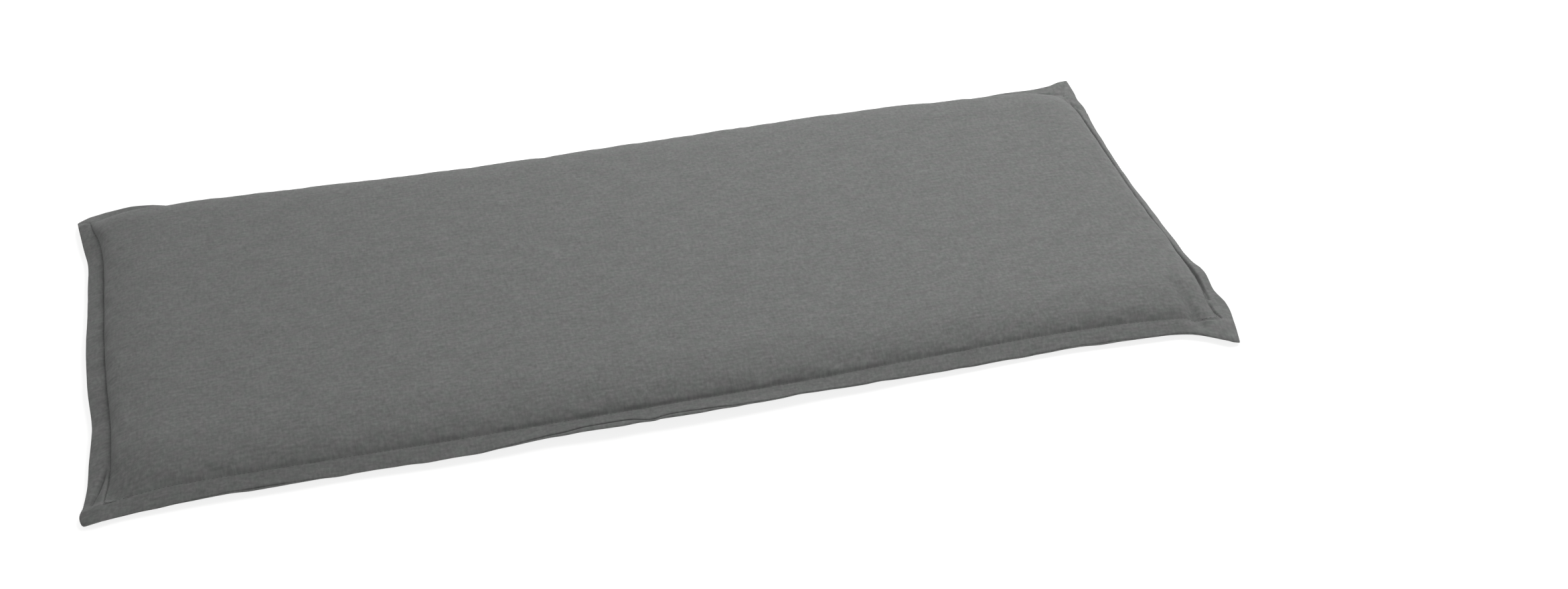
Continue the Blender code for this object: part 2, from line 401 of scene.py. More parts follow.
# Camera, fitted to the photograph's corners, in its own frame of 2362 by 887 pixels.
IMAGE_WIDTH = 2362
FOCAL_PIXELS = 3576.8
PRINCIPAL_X = 1188.5
CAMERA_PLACE = (-0.2976, -1.7525, 1.2875)
CAMERA_PITCH = 36.368
CAMERA_YAW = 14.076
CAMERA_ROLL = -0.131
SENSOR_WIDTH = 36.0


def linear(hex_colour):
    """An sRGB hex colour as the three linear numbers that shaders take."""
    parts = [int(hex_colour[i : i + 2], 16) / 255 for i in (0, 2, 4)]
    return tuple(c / 12.92 if c <= 0.04045 else ((c + 0.055) / 1.055) ** 2.4 for c in parts)


def user_colour(name, description, colour):
    """A colour that the user can change."""
    return FloatVectorProperty(
        name=name, description=description, subtype="COLOR", size=3, min=0, max=1, default=colour
    )


class CushionSizes(bpy.types.PropertyGroup):
    """Sizes of the cushion, in metres."""

    length: FloatProperty(name="Length", description="From ear to ear", default=1.0, unit="LENGTH")
    depth: FloatProperty(name="Depth", description="From ear to ear", default=0.45, unit="LENGTH")
    flange: FloatProperty(
        name="Flange",
        description="Cloth between the rim and the stitch row",
        default=0.0175,
        unit="LENGTH",
    )
    flange_thickness: FloatProperty(
        name="Flange thickness",
        description="Two panels and their seam allowance",
        default=0.003,
        unit="LENGTH",
    )
    stitch_height: FloatProperty(
        name="Stitch height",
        description="Middle of the cloth at the stitch row, above the ground",
        default=0.013,
        unit="LENGTH",
    )
    pad_rise: FloatProperty(
        name="Pad rise",
        description="How far the top panel rises inside the stitch row",
        default=0.0162,
        unit="LENGTH",
    )
    crown: FloatProperty(
        name="Crown",
        description="How much higher the middle is than the shoulders",
        default=0.005,
        unit="LENGTH",
    )
    stitch_pitch: FloatProperty(
        name="Stitch pitch",
        description="From one stitch to the next",
        default=0.0036,
        unit="LENGTH",
    )
    stitch_length: FloatProperty(
        name="Stitch length",
        description="Thread that shows in one stitch",
        default=0.003,
        unit="LENGTH",
    )
    thread: FloatProperty(
        name="Thread", description="Thickness of the thread", default=0.0006, unit="LENGTH"
    )


class CushionColours(bpy.types.PropertyGroup):
    """Colours of the cloth, the thread and the floor."""

    yarn: user_colour("Yarn", "Middle tone of the melange yarn", linear("686968"))
    dark_fibre: user_colour("Dark fibre", "Dark fibres in the melange yarn", linear("5b5c5b"))
    light_fibre: user_colour("Light fibre", "Light fibres in the melange yarn", linear("767776"))
    thread: user_colour("Thread", "Sewing thread", linear("555654"))
    green_lean: user_colour(
        "Green lean", "What the cloth's greener patches multiply its grey by", (0.965, 1.0, 0.975)
    )
    red_lean: user_colour(
        "Red lean", "What the cloth's redder patches multiply its grey by", (1.0, 0.968, 0.985)
    )
    floor: user_colour("Floor", "Pale floor", linear("a0a09f"))


# ---------------------------------------------------------------- the sewn shape


def curve_at(rows, places):
    """A table's values at each place, on smooth curves through its rows."""
    rows = np.array(rows, float)
    knots = rows[:, 0]
    values = rows[:, 1:]
    slopes = np.gradient(values, knots, axis=0)
    places = np.clip(places, knots[0], knots[-1])
    row = np.clip(np.searchsorted(knots, places, side="right") - 1, 0, len(knots) - 2)
    width = (knots[row + 1] - knots[row])[:, None]
    t = ((places - knots[row])[:, None]) / width
    start = (1 + 2 * t) * (1 - t) ** 2 * values[row] + t * (1 - t) ** 2 * width * slopes[row]
    end = t * t * (3 - 2 * t) * values[row + 1] - t * t * (1 - t) * width * slopes[row + 1]
    return start + end


class Cut:
    """The cut cloth's sizes, in millimetres."""

    def __init__(self, sizes):
        self.length = sizes.length / MM
        self.depth = sizes.depth / MM
        self.flange = sizes.flange / MM
        self.flange_thickness = sizes.flange_thickness / MM
        self.stitch_height = sizes.stitch_height / MM
        self.pad_rise = sizes.pad_rise / MM
        self.crown = sizes.crown / MM


def from_seams(cut, cut_x, cut_y):
    """How far in from the seam at the nearer end, and from the one at the nearer long side."""
    return cut.length / 2 - abs(cut_x), cut.depth / 2 - abs(cut_y)


def cut_lines(size):
    """Where a panel's lines cross a side of this length: close by the seam, wider apart inside."""
    near = SEAM_LINES + PAD_LINES
    half = size / 2
    open_width = size - 2 * near[-1]
    count = round(open_width / OPEN_SPACING)
    first = [line - half for line in near]
    middle = [first[-1] + open_width * step / count for step in range(1, count)]
    last = [half - line for line in reversed(near)]
    return np.array(first + middle + last)


def cloth_thickness(cut, edge):
    """The flange's double cloth: full in the middle, thinner at the rim, pressed at the stitches."""
    middle = cut.flange / 2
    rising = RIM_THICKNESS + (cut.flange_thickness - RIM_THICKNESS) * edge / middle
    pressed = np.clip((edge - middle) / middle, 0, 1) ** 2
    falling = cut.flange_thickness + (STITCH_THICKNESS - cut.flange_thickness) * pressed
    return np.where(edge < middle, rising, falling)


def round_the_rim(cut, from_seam, seam_up, face):
    """Where cloth this far from the seam lies on the flange's rounded edge.

    face is 1 for the top panel and -1 for the bottom one. Gives the distance in from the rim and the
    height from the middle of the cloth.
    """
    radius = RIM_THICKNESS / 2
    quarter = radius * math.pi / 2
    reach = cut.flange - radius + quarter
    share = np.clip(from_seam / cut.flange, 0, 1)
    arc = seam_up * (1 - share) + face * reach * share
    turn = np.clip(arc / radius, -math.pi / 2, math.pi / 2)
    flat = np.clip(np.abs(arc) - quarter, 0, None)
    edge = radius * (1 - np.cos(turn)) + flat + np.clip(from_seam - cut.flange, 0, None)
    half = cloth_thickness(cut, edge) / 2
    height = np.where(flat > 0, np.sign(arc) * half, radius * np.sin(turn))
    return edge, height


def drawn_in(cut, edge, rim_in, stitch_in):
    """How far a side draws in cloth that is this far in from the rim."""
    on_flange = rim_in + (stitch_in - rim_in) * edge / cut.flange
    inside = stitch_in * np.clip(1 - (edge - cut.flange) / DRAW_REACH, 0, None) ** 2
    return np.where(edge <= cut.flange, on_flange, inside)


def hang(cut, edge, rim_height, foot):
    """How far the flange is from the stitch row's height, foot, this far in from the rim."""
    out = np.clip(1 - edge / cut.flange, 0, None)
    return (rim_height - foot) * out**FLANGE_BOW


def filled(cut, edge, shoulder, power):
    """How full the pad is, from 0 at the stitch row to 1 past its shoulder."""
    inside = np.clip((edge - cut.flange) / shoulder, 0, 1)
    return (1 - (1 - inside) ** power) ** 0.5


def wall_bulge(cut, edge, most):
    """How far the pad's wall leans out over its stitches, this far in from the rim."""
    inside = np.clip(edge - cut.flange, 0, None)
    return most * (1 - np.exp(-inside / BULGE_START)) * np.exp(-inside / BULGE_REACH)


def bulge_along(places, on_first, first, second):
    """How far the wall leans out at places from -0.5 to 0.5 along the first or the second side."""
    on_second = np.interp(places, (-0.5, 0.5), second)
    return np.where(on_first, np.interp(places, (-0.5, 0.5), first), on_second)


def ear_rounding(cut, cut_x, cut_y):
    """How far the rounding of an ear brings its cloth in, along X and along Y."""
    from_end, from_side = from_seams(cut, cut_x, cut_y)
    in_x = np.zeros(len(cut_x))
    in_y = np.zeros(len(cut_x))
    for (end, side), corner in CORNERS.items():
        here = (np.sign(cut_x) == end) & (np.sign(cut_y) == side)
        radius = corner.ear_radius
        along = np.clip(1 - from_end / radius, 0, 1)
        across = np.clip(1 - from_side / radius, 0, 1)
        in_x += here * radius * along * (1 - np.sqrt(1 - across * across / 2))
        in_y += here * radius * across * (1 - np.sqrt(1 - along * along / 2))
    return in_x, in_y


def near_corners(cut, cut_x, cut_y, edge_x, edge_y):
    """The share of its rise that the pad has near its corners, and how much lower its stitches lie."""
    inside = np.clip(edge_x - cut.flange, 0, None) + np.clip(edge_y - cut.flange, 0, None)
    fullness = np.ones(len(cut_x))
    drop = np.zeros(len(cut_x))
    for (end, side), corner in CORNERS.items():
        here = (np.sign(cut_x) == end) & (np.sign(cut_y) == side)
        near = here * np.exp(-((inside / corner.reach) ** 2))
        fullness -= corner.slack * near
        drop += corner.drop * near
    return fullness, drop


def seam_roll(cut_x, cut_y):
    """How far the seam has rolled up on the end and on the long side nearest to each point."""
    roll_x = curve_at(SIDE_ROLL, cut_y)[:, 0]
    roll_y = np.where(cut_y > 0, curve_at(BACK_ROLL, cut_x)[:, 0], curve_at(FRONT_ROLL, cut_x)[:, 0])
    return roll_x, roll_y


def sewn(cut, cut_x, cut_y, side):
    """Where points of a cut panel lie once the cushion is sewn and filled, in millimetres.

    side is 1 for the top panel, -1 for the bottom one and 0 on their seam.
    """
    right = cut_x > 0
    behind = cut_y > 0
    ends = np.where(right[:, None], curve_at(RIGHT, cut_y), curve_at(LEFT, cut_y))
    edges = np.where(behind[:, None], curve_at(BACK, cut_x), curve_at(FRONT, cut_x))
    face = np.where(side < 0, -1, 1)  # the seam's points go with the top panel's
    roll_x, roll_y = seam_roll(cut_x, cut_y)
    from_end, from_side = from_seams(cut, cut_x, cut_y)
    edge_x, height_x = round_the_rim(cut, from_end, roll_x, face)
    edge_y, height_y = round_the_rim(cut, from_side, roll_y, face)
    ear_x, ear_y = ear_rounding(cut, cut_x, cut_y)
    nearest = np.minimum(edge_x, edge_y)
    fullness, drop = near_corners(cut, cut_x, cut_y, edge_x, edge_y)
    foot = cut.stitch_height - drop
    wall = fullness * ((side > 0) & (nearest > cut.flange))
    bulge_x = bulge_along(cut_y / cut.depth, right, RIGHT_BULGE, LEFT_BULGE)
    bulge_y = bulge_along(cut_x / cut.length, behind, BACK_BULGE, FRONT_BULGE)
    in_x = edge_x + drawn_in(cut, edge_x, ends[:, 0], ends[:, 1]) + ear_x
    in_y = edge_y + drawn_in(cut, edge_y, edges[:, 0], edges[:, 1]) + ear_y
    in_x -= wall * wall_bulge(cut, edge_x, bulge_x)
    in_y -= wall * wall_bulge(cut, edge_y, bulge_y)
    x = np.sign(cut_x) * (cut.length / 2 - in_x) - CENTRE[0]
    y = np.sign(cut_y) * (cut.depth / 2 - in_y) - CENTRE[1]

    half = cloth_thickness(cut, nearest) / 2
    offset = np.where(face > 0, np.minimum(height_x, height_y), np.maximum(height_x, height_y))
    middle = foot + hang(cut, edge_x, ends[:, 2], foot) + hang(cut, edge_y, edges[:, 2], foot)
    flange_z = np.maximum(middle, GROUND_CLEARANCE + half) + offset

    crowned = (1 - (2 * cut_x / cut.length) ** 2) * (1 - (2 * cut_y / cut.depth) ** 2)
    power_x = np.where(right, RIGHT_POWER, LEFT_POWER)
    power_y = np.where(behind, BACK_POWER, FRONT_POWER)
    top_full = filled(cut, edge_x, TOP_SHOULDER, power_x) * filled(cut, edge_y, TOP_SHOULDER, power_y)
    top_full = top_full * fullness
    base_full = filled(cut, edge_x, BASE_SHOULDER, BASE_POWER)
    base_full = base_full * filled(cut, edge_y, BASE_SHOULDER, BASE_POWER)
    top_z = foot + half + (cut.pad_rise + cut.crown * crowned) * top_full
    base_z = (foot - half) * (1 - base_full)
    pad_z = np.where(side > 0, top_z, base_z)
    z = np.where(nearest <= cut.flange, flange_z, pad_z)
    return np.stack((x, y, z), 1)


# ---------------------------------------------------------------- folds, waves and the seam line


def along_route(route, points):
    """Each point's distance from a route, and how far along the route it is, from 0 to 1."""
    nearest = np.full(len(points), np.inf)
    run = np.zeros(len(points))
    passed = 0.0
    route = np.array(route, float)
    for start, end in zip(route[:-1], route[1:]):
        step = end - start
        length = np.linalg.norm(step)
        share = np.clip((points - start) @ step / length**2, 0, 1)
        off = np.linalg.norm(points - start - share[:, None] * step, axis=1)
        closer = off < nearest
        nearest = np.where(closer, off, nearest)
        run = np.where(closer, passed + share * length, run)
        passed += length
    return nearest, run / passed


def fold_depth(points, on_flange):
    """How far the folds lower the cloth: valleys with a sharp bottom and ridges with a round top."""
    depth = np.zeros(len(points))
    for fold in FOLDS:
        off, run = along_route(fold.route, points)
        near = np.clip(1 - off / fold.half_width, 0, None)
        profile = near**2 if fold.depth > 0 else (1 - (1 - near) ** 2) ** 2
        profile *= np.where(on_flange, 1, fold.pad_share)
        depth += fold.depth * profile * np.sqrt(np.clip(4 * run * (1 - run), 0, 1))
    return depth


def waves(table, places, seed):
    """Uneven waves along a side, made of the table's lengths."""
    phases = np.random.default_rng(seed).uniform(0, 2 * math.pi, len(table))
    rows = zip(table, phases)
    return sum(wave.height * np.sin(2 * math.pi * places / wave.length + phase) for wave, phase in rows)


def wave_lift(cut, cut_x, cut_y):
    """How far the waves lift the cloth, for the flange and, apart from it, for the pad's foot."""
    half_x = cut.length / 2
    half_y = cut.depth / 2
    sides = (
        (cut_x, half_x, half_y + cut_y),
        (cut_x, half_x, half_y - cut_y),
        (cut_y, half_y, half_x + cut_x),
        (cut_y, half_y, half_x - cut_x),
    )
    flange = np.zeros(len(cut_x))
    foot = np.zeros(len(cut_x))
    for number, (places, half, seam) in enumerate(sides):
        seed = WAVE_SEED + 3 * number
        from_ear = np.clip((half - np.abs(places)) / WAVE_FADE, 0, 1)
        out = np.clip(1 - seam / cut.flange, 0, 1)
        flange += waves(RIM_WAVES, places, seed) * out**FLANGE_BOW * from_ear
        off = np.abs(seam - cut.flange) / PUCKER_PEAK
        swell = 0.5 + 0.5 * np.sin(2 * math.pi * places / PUCKER_SWELL + seed)
        pucker = waves(PUCKERS, places, seed + 1) * off * np.exp(1 - off) * swell * PUCKER_SHARES[number]
        flange += pucker * (seam <= cut.flange)
        foot += pucker * (seam > cut.flange) * PAD_PUCKER
    return flange, foot


def seam_line(cut, place):
    """How the dark line of the seam moves the cloth beside it: into the rim, square to its surface."""
    from_end, from_side = from_seams(cut, place[:, 0], place[:, 1])
    at_end = from_end < from_side
    rolled = np.where(at_end, *seam_roll(place[:, 0], place[:, 1]))
    depth = np.interp(np.abs(rolled), SEAM_ROLLED, SEAM_DEPTHS)
    depth *= np.exp(-np.minimum(from_end, from_side) / SEAM_WIDTH)
    depth *= np.interp(np.maximum(from_end, from_side), SEAM_FADE, (0, 1))
    turn = np.clip(rolled / (RIM_THICKNESS / 2), -math.pi / 2, math.pi / 2)
    inward = -np.sign(place[:, :2]) * (depth * np.cos(turn))[:, None]
    return np.stack((inward[:, 0] * at_end, inward[:, 1] * ~at_end, -depth * np.sin(turn)), 1)


def detail(cover, cut):
    """Adds the folds, the waves and the seam's dark line to the subdivided cover."""
    place = cut_of(cover)
    side = place[:, 2]
    points = points_of(cover) / MM
    seam = np.minimum(*from_seams(cut, place[:, 0], place[:, 1]))
    on_flange = seam <= cut.flange
    flange_lift, foot_lift = wave_lift(cut, place[:, 0], place[:, 1])
    lift = np.where(on_flange, flange_lift, foot_lift) - fold_depth(points[:, :2], on_flange)
    under_pad = ~on_flange & (side < 0)
    lift *= np.where(under_pad, np.clip(1 - (seam - cut.flange) / UNDER_REACH, 0, 1), 1)
    thickness = cloth_thickness(cut, np.minimum(seam, cut.flange))
    lowest = np.where(under_pad, 0, GROUND_CLEARANCE + thickness * (1 + side) / 2)
    points[:, 2] = np.maximum(points[:, 2] + lift, np.minimum(lowest, points[:, 2]))
    move_points(cover, (points + seam_line(cut, place)) * MM)


# ---------------------------------------------------------------- mesh helpers


def deselect_all():
    for obj in bpy.context.view_layer.objects:
        obj.select_set(False)


def select_only(obj):
    deselect_all()
    obj.select_set(True)
    bpy.context.view_layer.objects.active = obj


def vectors(rows, field):
    """One vector field of a mesh's points, as an array."""
    flat = np.empty(len(rows) * 3, np.float32)
    rows.foreach_get(field, flat)
    return flat.reshape(-1, 3).astype(float)


def points_of(obj):
    return vectors(obj.data.vertices, "co")


def normals_of(obj):
    return vectors(obj.data.vertices, "normal")


def cut_of(obj):
    """Where on the flat cut each point is, and its panel: 1 on top, -1 below and 0 on the seam."""
    return vectors(obj.data.attributes["cut"].data, "vector")


def move_points(obj, points):
    obj.data.vertices.foreach_set("co", np.asarray(points, np.float32).ravel())
    obj.data.update()


def apply_modifier(obj, modifier):
    select_only(obj)
    bpy.ops.object.modifier_apply(modifier=modifier.name)


# ---------------------------------------------------------------- the cover


def on_stitch_row(cut, place):
    """Whether a place on the flat cut lies on the stitch row."""
    return abs(min(from_seams(cut, *place[:2])) - cut.flange) < ON_LINE


def cut_panels(cut):
    """Both panels, flat and joined at their seam, with the cut kept as each point's own place."""
    lines_x = cut_lines(cut.length)
    lines_y = cut_lines(cut.depth)
    columns = len(lines_x) - 1
    rows = len(lines_y) - 1
    deselect_all()
    bpy.ops.mesh.primitive_grid_add(x_subdivisions=columns, y_subdivisions=rows, size=1.0)
    cover = bpy.context.object
    cover.name = "cushion_cover"
    cover.data.name = "cushion_cover"
    panels = bmesh.new()
    panels.from_mesh(cover.data)
    place = panels.verts.layers.float_vector.new("cut")
    weave = panels.loops.layers.uv.new("cut_metres")
    crease = panels.edges.layers.float.new("crease_edge")
    bottom = set(panels.verts)
    bmesh.ops.extrude_face_region(panels, geom=panels.faces[:], use_keep_orig=True)
    top = set(panels.verts) - bottom
    for panel, side in ((bottom, -1), (top, 1)):
        for vert in panel:
            cut_x = lines_x[round((vert.co.x + 0.5) * columns)]
            cut_y = lines_y[round((vert.co.y + 0.5) * rows)]
            vert[place] = (cut_x, cut_y, side)
    walls = [face for face in panels.faces if len({vert in top for vert in face.verts}) == 2]
    seam = {}
    for face in walls:
        for edge in face.edges:
            ends = [vert in top for vert in edge.verts]
            if ends[0] != ends[1]:
                above, below = edge.verts if ends[0] else reversed(edge.verts)
                seam[above] = below
    bmesh.ops.delete(panels, geom=walls, context="FACES_ONLY")
    for above, below in seam.items():
        above[place] = (*above[place][:2], 0)
        below[place] = (*below[place][:2], 0)
        above.co = below.co
    bmesh.ops.weld_verts(panels, targetmap=seam)
    for edge in panels.edges:
        if all(on_stitch_row(cut, vert[place]) for vert in edge.verts):
            edge[crease] = STITCH_CREASE
    for face in panels.faces:
        for loop in face.loops:
            loop[weave].uv = loop.vert[place].xy * MM
    panels.to_mesh(cover.data)
    panels.free()
    return cover


def sew(cover, cut):
    """Moves the flat cut's points to where they lie on the sewn and filled cushion."""
    place = cut_of(cover)
    points = sewn(cut, place[:, 0], place[:, 1], place[:, 2])
    move_points(cover, points * MM)


def fill(cover, cut):
    """Swells the top panel with a short cloth simulation, held at its stitch row."""
    before = points_of(cover)
    place = cut_of(cover)
    seam = np.minimum(*from_seams(cut, place[:, 0], place[:, 1]))
    inside = seam - cut.flange
    start, end = WADDING_HOLDS
    grip = np.clip((inside - start) / (end - start), 0, 1)
    grip[(inside < ON_LINE) | (place[:, 2] <= 0)] = 1
    gathered = np.clip(inside / GATHER_REACH, 0, 1)
    held = cover.vertex_groups.new(name="held")
    gathers = cover.vertex_groups.new(name="gathers")
    for i in range(len(place)):
        held.add([i], float(grip[i]), "REPLACE")
        gathers.add([i], float(gathered[i]), "REPLACE")
    cloth = cover.modifiers.new("filling", "CLOTH")
    cloth.point_cache.frame_start = 1
    cloth.point_cache.frame_end = FILL_FRAMES
    wear = cloth.settings
    for field, value in CLOTH.items():
        setattr(wear, field, value)
    wear.vertex_group_mass = held.name
    wear.vertex_group_shrink = gathers.name
    wear.effector_weights.gravity = 0
    cloth.collision_settings.use_collision = False
    for number in range(1, FILL_FRAMES + 1):
        bpy.context.scene.frame_set(number)
    apply_modifier(cover, cloth)
    cover.vertex_groups.clear()
    bpy.context.scene.frame_set(1)
    moved = points_of(cover) - before
    length = np.linalg.norm(moved, axis=1) / MM
    cap = FILL_CAP * (1 - np.exp(-np.clip(inside, 0, None) / FILL_CAP_REACH))
    keep = np.minimum(1, cap / np.maximum(length, 1e-9))
    move_points(cover, before + moved * keep[:, None])


def subdivide(obj, levels=1):
    finer = obj.modifiers.new("finer", "SUBSURF")
    finer.levels = levels
    finer.render_levels = levels
    finer.uv_smooth = "NONE"
    apply_modifier(obj, finer)


# ---------------------------------------------------------------- the stitches


def stitch_pattern(sizes):
    """One stitch along X: a short thread whose ends are drawn down into the cloth."""
    deselect_all()
    bpy.ops.mesh.primitive_cylinder_add(
        vertices=STITCH_SIDES,
        radius=sizes.thread / 2,
        depth=sizes.stitch_length,
        rotation=(0, math.pi / 2, 0),
    )
    stitch = bpy.context.object
    bpy.ops.object.transform_apply(location=True, rotation=True, scale=True)
    bpy.ops.object.mode_set(mode="EDIT")
    bend = STITCH_STRAIGHT / 2 * sizes.stitch_length
    for place in (-bend, bend):
        bpy.ops.mesh.select_all(action="SELECT")
        bpy.ops.mesh.bisect(plane_co=(place, 0, 0), plane_no=(1, 0, 0))
    bpy.ops.object.mode_set(mode="OBJECT")
    for vert in stitch.data.vertices:
        vert.select = abs(vert.co.x) > (bend + sizes.stitch_length / 2) / 2
    bpy.ops.object.mode_set(mode="EDIT")
    bpy.ops.mesh.select_mode(type="VERT")
    bpy.ops.transform.resize(value=(1, STITCH_DIP, STITCH_DIP))
    bpy.ops.transform.translate(value=(0, 0, -STITCH_DIP * sizes.thread))
    bpy.ops.object.mode_set(mode="OBJECT")
    return stitch


def values_at(places, run, values):
    """Three-part values read off at places along a run of them."""
    return np.stack([np.interp(places, run, values[:, part]) for part in range(3)], 1)


def stitch_places(cover, cut, pitch):
    """Where the stitches lie on both faces of the cover: a middle, a way along and a way out for each."""
    place = cut_of(cover)
    points = points_of(cover)
    normals = normals_of(cover)
    seam = from_seams(cut, place[:, 0], place[:, 1])
    middles = []
    alongs = []
    outs = []
    for face in (1, -1):
        for axis in (0, 1):
            for side in (1, -1):
                row = np.abs(seam[axis] - cut.flange) < ON_LINE
                row &= seam[1 - axis] > cut.flange - ON_LINE
                row &= (place[:, axis] * side > 0) & (place[:, 2] * face > 0.5)
                row = np.flatnonzero(row)
                row = row[np.argsort(place[row, 1 - axis])]
                steps = np.linalg.norm(np.diff(points[row], axis=0), axis=1)
                run = np.concatenate(([0], np.cumsum(steps)))
                count = round(run[-1] / pitch)
                at = (np.arange(count) + 0.5) * run[-1] / count
                bend = STITCH_STRAIGHT / 2 * pitch
                tail = values_at(at - bend, run, points[row])
                head = values_at(at + bend, run, points[row])
                middles.append((tail + head) / 2)
                alongs.append(head - tail)
                outs.append(values_at(at, run, normals[row]))
    return np.concatenate(middles), np.concatenate(alongs), np.concatenate(outs)


def sew_stitches(cover, cut, sizes):
    """Copies the one stitch along both stitch rows, as one mesh."""
    stitch = stitch_pattern(sizes)
    shape = points_of(stitch)
    faces = [tuple(face.vertices) for face in stitch.data.polygons]
    middle, along, out = stitch_places(cover, cut, sizes.stitch_pitch)
    along /= np.linalg.norm(along, axis=1)[:, None]
    across = np.cross(out, along)
    across /= np.linalg.norm(across, axis=1)[:, None]
    up = np.cross(along, across)
    middle = middle + up * sizes.thread * (0.5 - STITCH_SINK)
    axes = np.stack((along, across, up), 1)
    points = middle[:, None, :] + shape[None] @ axes
    count = len(shape)
    copies = [tuple(i + count * number for i in face) for number in range(len(middle)) for face in faces]
    row = bpy.data.meshes.new("cushion_stitches")
    row.from_pydata(points.reshape(-1, 3), [], copies)
    row.update()
    bpy.data.objects.remove(stitch)
    stitches = bpy.data.objects.new("cushion_stitches", row)
    bpy.context.scene.collection.objects.link(stitches)
    row.shade_smooth()
    return stitches


# ---------------------------------------------------------------- materials


def new_material(name):
    material = bpy.data.materials.new(name)
    material.use_nodes = True
    tree = material.node_tree
    tree.nodes.clear()
    return material, tree


def add(tree, kind, settings=None, **inputs):
    """Adds a node. settings are its own fields. inputs are its sockets, by name or as in_0, in_1."""
    node = tree.nodes.new(kind)
    for field, value in (settings or {}).items():
        setattr(node, field, value)
    for name, value in inputs.items():
        if name.startswith("in_"):
            socket = node.inputs[int(name[3:])]
        else:
            socket = node.inputs[name.replace("_", " ")]
        if isinstance(value, bpy.types.NodeSocket):
            tree.links.new(value, socket)
        else:
            socket.default_value = value
    return node


def melange_cloth(colours):
    """Melange polyester, plain weave.

    It is dull and evenly grey from a step away. Closer up, dark and light fibres run through the
    yarns as faint streaks, along the cushion and across it, over the small bumps of the weave.
    """
    material, tree = new_material("melange_polyester_weave")
    flat = add(tree, "ShaderNodeUVMap", {"uv_map": "cut_metres"}).outputs[0]
    noises = []
    for number, fibres in enumerate((*FIBRES, HUE_PATCHES)):
        scaled = add(
            tree,
            "ShaderNodeMapping",
            Vector=flat,
            Location=(number * FIBRE_OFFSET, number * FIBRE_OFFSET, 0),
            Scale=(1 / fibres.length_x, 1 / fibres.length_y, 1),
        )
        noise = add(
            tree,
            "ShaderNodeTexNoise",
            Vector=scaled.outputs[0],
            Scale=1.0,
            Detail=fibres.detail,
            Roughness=FIBRE_ROUGHNESS,
        )
        noises.append(noise.outputs[0])
    *layers, hue = noises
    tone = 0.0
    for fibres, layer in zip(FIBRES, layers):
        mixed = add(
            tree, "ShaderNodeMath", {"operation": "MULTIPLY_ADD"}, in_0=layer, in_1=fibres.share, in_2=tone
        )
        tone = mixed.outputs[0]
    ramp = add(tree, "ShaderNodeValToRGB", in_0=tone)
    ramp.color_ramp.elements[0].position = TONE_RANGE[0]
    ramp.color_ramp.elements[0].color = (*colours.dark_fibre, 1)
    ramp.color_ramp.elements[1].position = TONE_RANGE[1]
    ramp.color_ramp.elements[1].color = (*colours.light_fibre, 1)
    middle = ramp.color_ramp.elements.new(sum(TONE_RANGE) / 2)
    middle.color = (*colours.yarn, 1)

    # The fibres are not all one grey: some patches lean to green, others to red.
    lean = add(tree, "ShaderNodeValToRGB", in_0=hue)
    lean.color_ramp.elements[0].position = TONE_RANGE[0]
    lean.color_ramp.elements[0].color = (*colours.green_lean, 1)
    lean.color_ramp.elements[1].position = TONE_RANGE[1]
    lean.color_ramp.elements[1].color = (*colours.red_lean, 1)
    colour = add(
        tree,
        "ShaderNodeMix",
        {"data_type": "RGBA", "blend_type": "MULTIPLY"},
        in_0=1.0,
        in_6=ramp.outputs[0],
        in_7=lean.outputs[0],
    )

    # The bumps of the weave. Real yarns lie about 0.5 mm apart: these are twice as coarse, to show.
    place = add(tree, "ShaderNodeSeparateXYZ", in_0=flat)
    bumps = []
    for part in (0, 1):
        turned = add(
            tree,
            "ShaderNodeMath",
            {"operation": "MULTIPLY"},
            in_0=place.outputs[part],
            in_1=2 * math.pi / WEAVE_PITCH,
        )
        bumps.append(add(tree, "ShaderNodeMath", {"operation": "SINE"}, in_0=turned.outputs[0]).outputs[0])
    weave = add(tree, "ShaderNodeMath", {"operation": "MULTIPLY"}, in_0=bumps[0], in_1=bumps[1])
    yarns = add(
        tree, "ShaderNodeMath", {"operation": "MULTIPLY"}, in_0=weave.outputs[0], in_1=WEAVE_BUMP
    )
    height = add(
        tree,
        "ShaderNodeMath",
        {"operation": "MULTIPLY_ADD"},
        in_0=tone,
        in_1=FIBRE_BUMP,
        in_2=yarns.outputs[0],
    )
    bump = add(tree, "ShaderNodeBump", Height=height.outputs[0], Strength=0.35, Distance=0.0003)
    shader = add(
        tree,
        "ShaderNodeBsdfPrincipled",
        Base_Color=colour.outputs[2],
        Roughness=0.9,
        Normal=bump.outputs[0],
        Sheen_Weight=0.12,
        Sheen_Roughness=0.45,
        Specular_IOR_Level=0.2,
    )
    add(tree, "ShaderNodeOutputMaterial", Surface=shader.outputs[0])
    return material


def sewing_thread(colours):
    """Spun polyester thread: a little darker and smoother than the cloth, so that the row shows."""
    material, tree = new_material("spun_polyester_thread")
    place = add(tree, "ShaderNodeTexCoord").outputs["Object"]
    twist = add(tree, "ShaderNodeTexNoise", Vector=place, Scale=1 / THREAD_TWIST, Detail=1.0)
    bump = add(tree, "ShaderNodeBump", Height=twist.outputs[0], Strength=0.3, Distance=0.0001)
    shader = add(
        tree,
        "ShaderNodeBsdfPrincipled",
        Base_Color=(*colours.thread, 1),
        Roughness=0.65,
        Normal=bump.outputs[0],
    )
    add(tree, "ShaderNodeOutputMaterial", Surface=shader.outputs[0])
    return material


def opal_floor(colours):
    """Opal acrylic, lit a little from below like a light table, which keeps the shadow pale."""
    material, tree = new_material("opal_acrylic_sheet")
    shader = add(
        tree,
        "ShaderNodeBsdfPrincipled",
        Base_Color=(*colours.floor, 1),
        Roughness=0.9,
        Emission_Color=(1, 1, 1, 1),
        Emission_Strength=FLOOR_GLOW,
        Specular_IOR_Level=0.1,
    )
    add(tree, "ShaderNodeOutputMaterial", Surface=shader.outputs[0])
    return material


